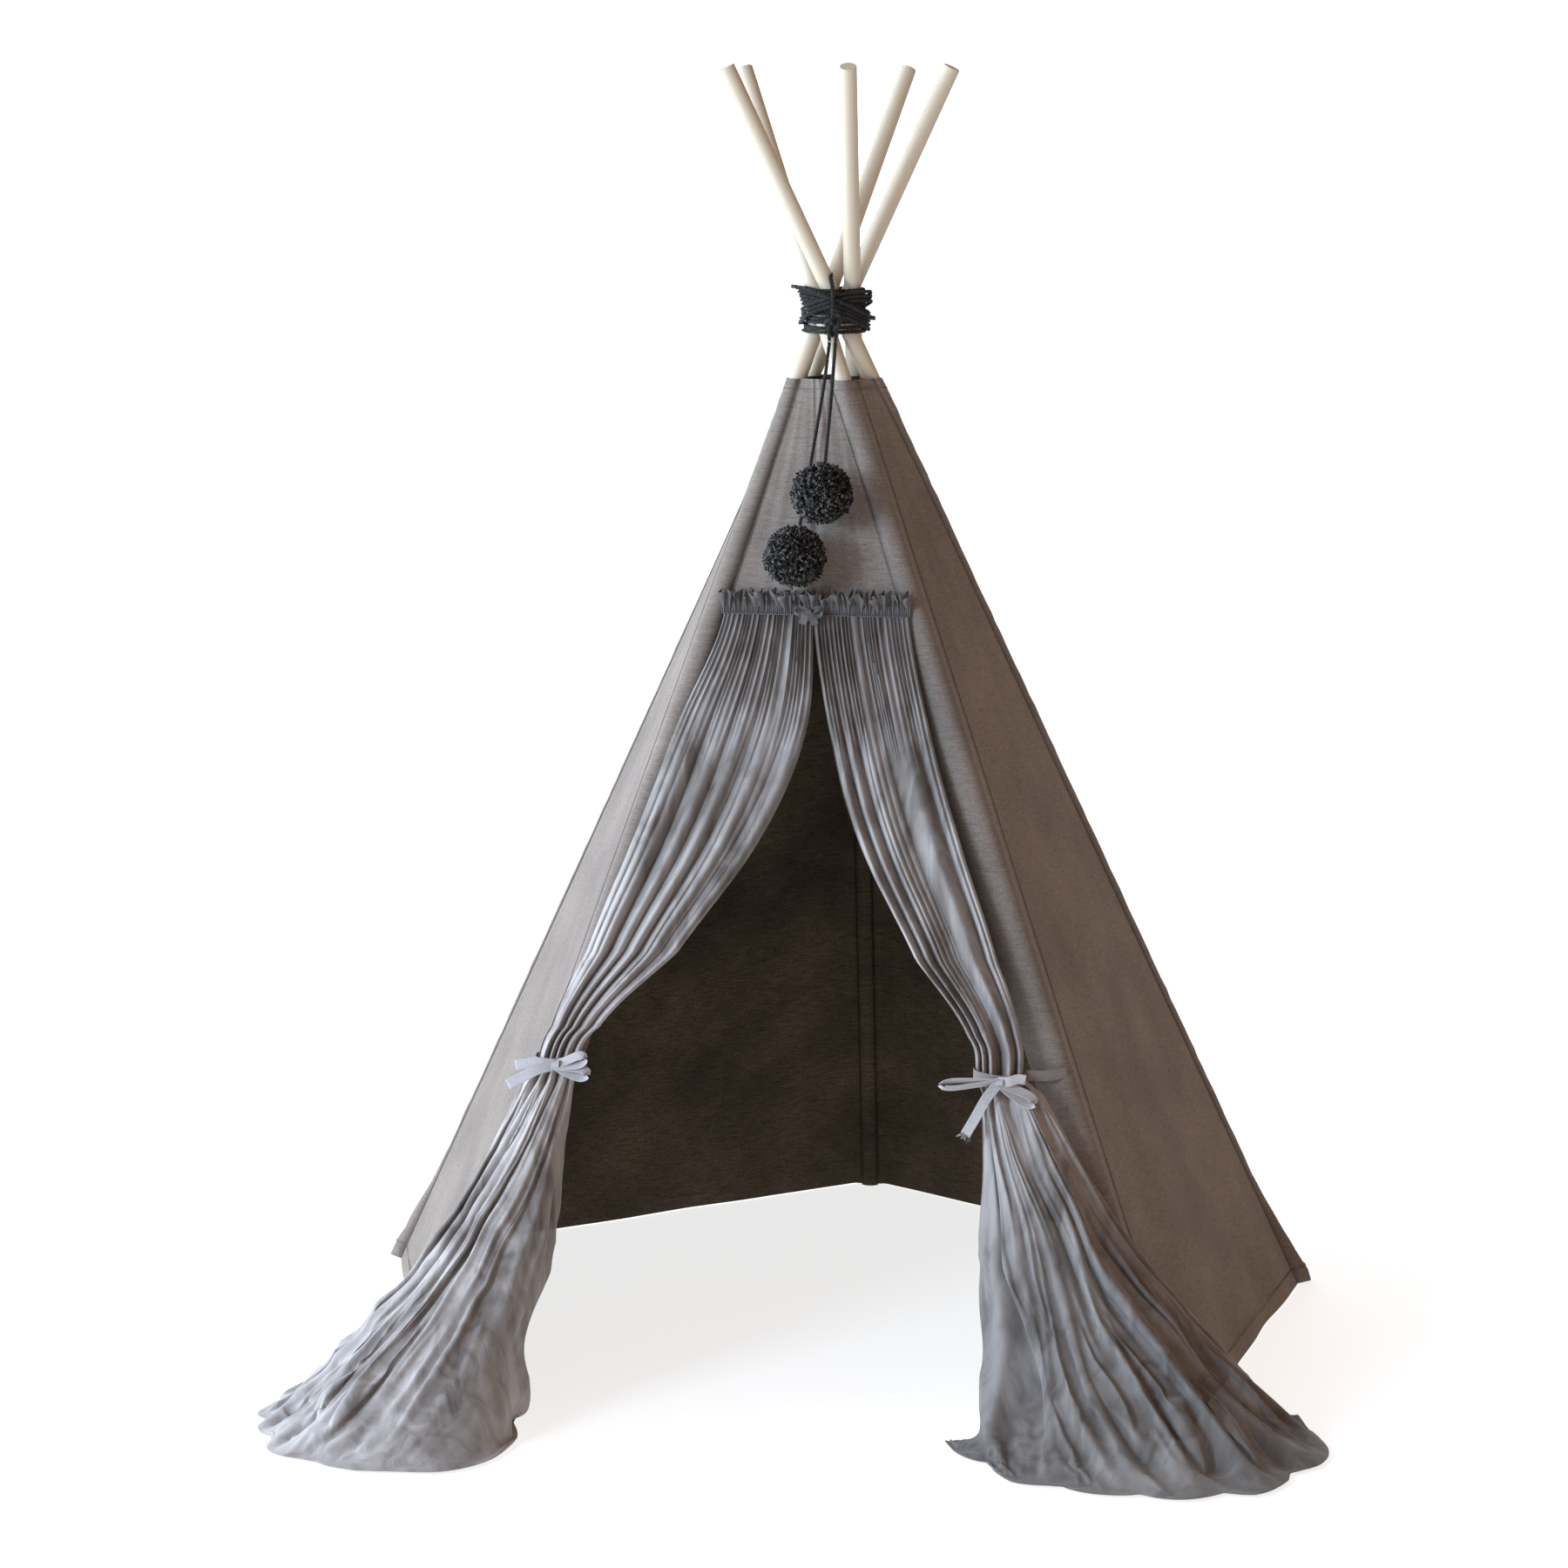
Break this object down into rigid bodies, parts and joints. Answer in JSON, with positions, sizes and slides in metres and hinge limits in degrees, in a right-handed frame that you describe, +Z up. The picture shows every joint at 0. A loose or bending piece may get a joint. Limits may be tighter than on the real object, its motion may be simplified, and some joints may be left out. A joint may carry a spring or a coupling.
{
  "type": "teepee tent",
  "caption": "Child's play teepee of wooden poles lashed at the top, with a cotton cover and gathered curtains tied back at the door.",
  "frame": {"origin": "on the floor, on the level centre line of the pole lashing", "axes": "+Z up; the curtained door faces -Y; +X to the right of someone who looks at the door"},
  "size_m": [1.2978, 1.3402, 1.6456],
  "materials": {
    "pole": "fine-sanded unvarnished pine dowel",
    "cover": "heavy grey cotton canvas, plain weave",
    "voile": "thin grey cotton voile, gathered, slightly see-through",
    "ribbon": "pale lilac-grey folded cotton tape",
    "rope": "dark charcoal three-strand twisted cotton rope",
    "yarn": "cut charcoal wool yarn"
  },
  "bodies": {
    "cover": {"lashing_rope": "rope", "lashing_knot": "rope", "panel_left": "cover", "panel_right": "cover", "panel_back_left": "cover", "panel_back_right": "cover", "yoke_left": "cover", "yoke_right": "cover", "curtain_heading_left": "voile", "curtain_heading_right": "voile", "heading_bow": "voile", "curtain_left": "voile", "curtain_right": "voile", "tie_strap_left": "ribbon", "tie_strap_right": "ribbon", "tie_bow_left": "ribbon", "tie_bow_right": "ribbon"},
    "back_leg": {"pole_back": "pole", "sleeve_back": "cover"},
    "left_leg": {"pole_left": "pole", "sleeve_left": "cover"},
    "right_leg": {"pole_right": "pole", "sleeve_right": "cover"},
    "front_left_leg": {"pole_front_left": "pole", "sleeve_front_left": "cover", "door_edge_left": "cover"},
    "front_right_leg": {"pole_front_right": "pole", "sleeve_front_right": "cover", "door_edge_right": "cover"},
    "upper_pompom": {"pompom_cord_upper": "rope", "pompom_upper": "yarn"},
    "lower_pompom": {"pompom_cord_lower": "rope", "pompom_lower": "yarn"}
  },
  "joints": [
    {"name": "fold_back", "type": "hinge", "parent": "cover", "child": "back_leg", "pos_m": [0.0235, 0, 1.334], "axis": [-1, 0, 0], "range_deg": [0, 20]},
    {"name": "fold_left", "type": "hinge", "parent": "cover", "child": "left_leg", "pos_m": [0.00765, 0.02222, 1.334], "axis": [-0.3256, -0.9455, 0], "range_deg": [0, 20]},
    {"name": "fold_right", "type": "hinge", "parent": "cover", "child": "right_leg", "pos_m": [0.00765, -0.02222, 1.334], "axis": [-0.3256, 0.9455, 0], "range_deg": [0, 20]},
    {"name": "fold_front_left", "type": "hinge", "parent": "cover", "child": "front_left_leg", "pos_m": [-0.01662, 0.01662, 1.334], "axis": [0.7071, -0.7071, 0], "range_deg": [0, 20]},
    {"name": "fold_front_right", "type": "hinge", "parent": "cover", "child": "front_right_leg", "pos_m": [-0.01662, -0.01662, 1.334], "axis": [0.7071, 0.7071, 0], "range_deg": [0, 20]},
    {"name": "swing_upper_pompom", "type": "hinge", "parent": "cover", "child": "upper_pompom", "pos_m": [0, -0.05508, 1.316], "axis": [-0.1912, -0.9282, 0.3193], "range_deg": [-20, 20]},
    {"name": "swing_lower_pompom", "type": "hinge", "parent": "cover", "child": "lower_pompom", "pos_m": [0, -0.05508, 1.316], "axis": [-0.1912, -0.9282, 0.3193], "range_deg": [-20, 20]}
  ],
  "couplings": [
    {"joint": "fold_left", "follows": "fold_back", "ratio": 1},
    {"joint": "fold_right", "follows": "fold_back", "ratio": 1},
    {"joint": "fold_front_left", "follows": "fold_back", "ratio": 1},
    {"joint": "fold_front_right", "follows": "fold_back", "ratio": 1}
  ]
}
